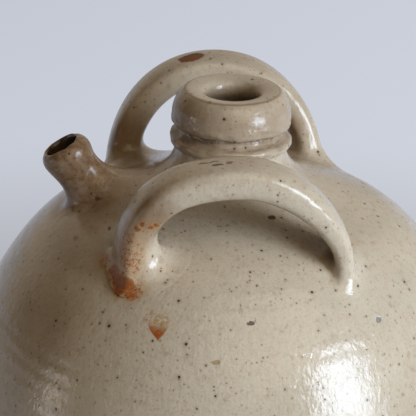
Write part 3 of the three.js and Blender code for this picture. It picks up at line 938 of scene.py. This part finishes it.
relief = {
    "peelScale": (1, 1, 0.55), "peelNoise": (2.2, 3, 0.55), "swellNoise": (6.5, 2), "swellShare": 0.9,
    "peel": 0.27, "ringSpacing": 7.5, "ringWander": 9, "ringNoise": (60, 2), "rings": 0.10, "wiping": 0.25,
    "specks": 0.06, "chip": 0.5, "crack": 0.4, "marks": 0.3,
}


# Orange peel, throwing rings and wiping; specks and scars are sunk
def reliefOf(field):
    upright = field.place.stretched(relief["peelScale"])
    peel = upright.cloud(*relief["peelNoise"]) + upright.cloud(*relief["swellNoise"]) * relief["swellShare"]
    wave = field.height * (2 * math.pi / relief["ringSpacing"]) + field.drift * relief["ringWander"]
    rings = wave.sum("SINE", wave) * field.place.cloud(*relief["ringNoise"])
    raised = peel * relief["peel"] + rings * relief["rings"] + field.onNeck * field.wiping * relief["wiping"]
    sunk = field.pitted * relief["specks"] + field.chipped * relief["chip"]
    sunk = sunk + field.cracked * relief["crack"] + field.marked * relief["marks"]
    return raised.add("Bump", {}, {"Strength": 1, "Distance": mm, "Height": raised - sunk})


def mixGlaze(material):
    start = startNodes(material)
    field = sampleField(start)
    colour = glaze["buff"]
    for coat in (groundCoat, thinCoat, speckCoat, rustCoat, scarCoat, dirtAndShadeCoat, footCoat):
        colour = coat(field, colour)
    sockets = {"Base Color": colour, "Roughness": roughOf(field), "Normal": reliefOf(field)}
    sockets["Specular IOR Level"] = glaze["shine"]
    shader = start.add("BsdfPrincipled", {}, sockets)
    start.add("OutputMaterial", {}, {"Surface": shader})


mixGlaze(bodyGlaze)
print("glaze mixed:", len(bodyGlaze.node_tree.nodes), "nodes")


# Stage: pale floor that fades into the backdrop colour

stage = {
    "floorColour": paint(212, 213, 216), "fadeFrom": 0.35, "fadeTo": 0.88, "haze": 0.35, "reach": 30,
    "far": paint(187, 191, 203), "near": paint(211, 215, 224),
    "sweep": (0.5, -0.3, 0), "sweepEnds": (-1.06, 0.34),  # the backdrop's way from far to near
}


def seenDirectly(start):
    path = [start.add("LightPath", take=i) for i in (0, 3, 6)]  # camera, glossy, transmission rays
    return (path[0] + path[1] + path[2]).orLess(1)


def makeFloor():
    reach, haze = stage["reach"], stage["haze"]
    mesh = bpy.data.meshes.new("floor")
    corners = [(-reach, -reach, 0), (reach, -reach, 0), (reach, reach, 0), (-reach, reach, 0)]
    mesh.from_pydata(corners, [], [(0, 1, 2, 3)])
    floor = bpy.data.objects.new("floor", mesh)
    scene.collection.objects.link(floor)
    material = bpy.data.materials.new("paleFloor")
    start = startNodes(material)
    place = start.add("TexCoord", take=3)
    away = place.vector("LENGTH", take=1)
    faded = haze + away.step(stage["fadeFrom"], stage["fadeTo"]) * (1 - haze)
    across = place.vector("DOT_PRODUCT", stage["sweep"], take=1)
    backdrop = across.step(*stage["sweepEnds"]).tint(stage["far"], stage["near"])
    matt = start.add("BsdfDiffuse", {}, {"Color": stage["floorColour"]})
    glow = start.add("Emission", {}, {"Color": backdrop, "Strength": 1})
    shader = start.add("MixShader", {}, {0: faded * seenDirectly(start), 1: matt, 2: glow})
    start.add("OutputMaterial", {}, {"Surface": shader})
    mesh.materials.append(material)


# Soft light: a window on the right, a warm ceiling and a far window on the left, in a dim room with a pale
# backdrop behind the jug; turn and tilt in degrees from the camera's side
lights = {
    "aim": (0, 0, 0.24), "distance": 1.7,
    "room": {
        "dim": (0.02, 0.015, 0.01, 1), "backdrop": (0.6, 0.52, 0.43, 1),
        "behind": (0.05, 1, 0), "edge": (0.30, 0.66),
    },
    "window": {"turn": 56, "tilt": 14, "size": (0.68, 0.9), "power": 33, "colour": (0.73, 0.85, 1)},
    "ceiling": {"turn": 28, "tilt": 46, "size": (1.4, 1.4), "power": 10, "colour": (1, 0.82, 0.57)},
    "farWindow": {"turn": -75, "tilt": 0, "size": (0.13, 0.44), "power": 1.4, "colour": (1, 0.95, 0.88)},
}


def makeWorld():
    world = bpy.data.worlds.new("studio")
    scene.world = world
    start = startNodes(world)
    room = lights["room"]
    facing = start.add("TexCoord", take=0).vector("DOT_PRODUCT", room["behind"], take=1)
    colour = facing.step(*room["edge"]).tint(room["dim"], room["backdrop"])
    soft = start.add("Background", {}, {"Color": colour, "Strength": 1})
    start.add("OutputWorld", {}, {"Surface": soft})


def makeLights():
    aim = Matrix.Translation(lights["aim"])
    back = Matrix.Translation((0, 0, lights["distance"]))
    for name in ("window", "ceiling", "farWindow"):
        light = lights[name]
        lamp = bpy.data.lights.new(name, "AREA")
        lamp.shape = "RECTANGLE"
        lamp.size, lamp.size_y = light["size"]
        lamp.energy = light["power"]
        lamp.color = light["colour"]
        turn = Matrix.Rotation(math.radians(camera["turn"] + light["turn"]), 4, "Z")
        tilt = Matrix.Rotation(math.radians(90 - light["tilt"]), 4, "X")
        holder = bpy.data.objects.new(name, lamp)
        scene.collection.objects.link(holder)
        holder.matrix_world = aim @ turn @ tilt @ back


# Camera: stands off the rim, angles in degrees
camera = {
    "about": (0, 0, 0.35), "turn": -4.5, "tilt": 19.254, "distance": 1.05, "lens": 169.05,
    "down": 3.532, "left": 0.591, "roll": 2.048, "sensor": 36, "clip": (0.05, 50),
}


def makeCamera():
    lens = bpy.data.cameras.new("camera")
    lens.lens = camera["lens"]
    lens.sensor_width = camera["sensor"]
    lens.clip_start, lens.clip_end = camera["clip"]
    holder = bpy.data.objects.new("camera", lens)
    scene.collection.objects.link(holder)
    turn = Matrix.Rotation(math.radians(camera["turn"]), 4, "Z")
    tilt = Matrix.Rotation(math.radians(90 - camera["tilt"]), 4, "X")
    down = Matrix.Rotation(math.radians(-camera["down"]), 4, "X")
    left = Matrix.Rotation(math.radians(camera["left"]), 4, "Y")
    roll = Matrix.Rotation(math.radians(camera["roll"]), 4, "Z")
    back = Matrix.Translation((0, 0, camera["distance"]))
    holder.matrix_world = Matrix.Translation(camera["about"]) @ turn @ tilt @ back @ down @ left @ roll
    scene.camera = holder


makeCamera()
makeFloor()
makeWorld()
makeLights()
print("stage lit")
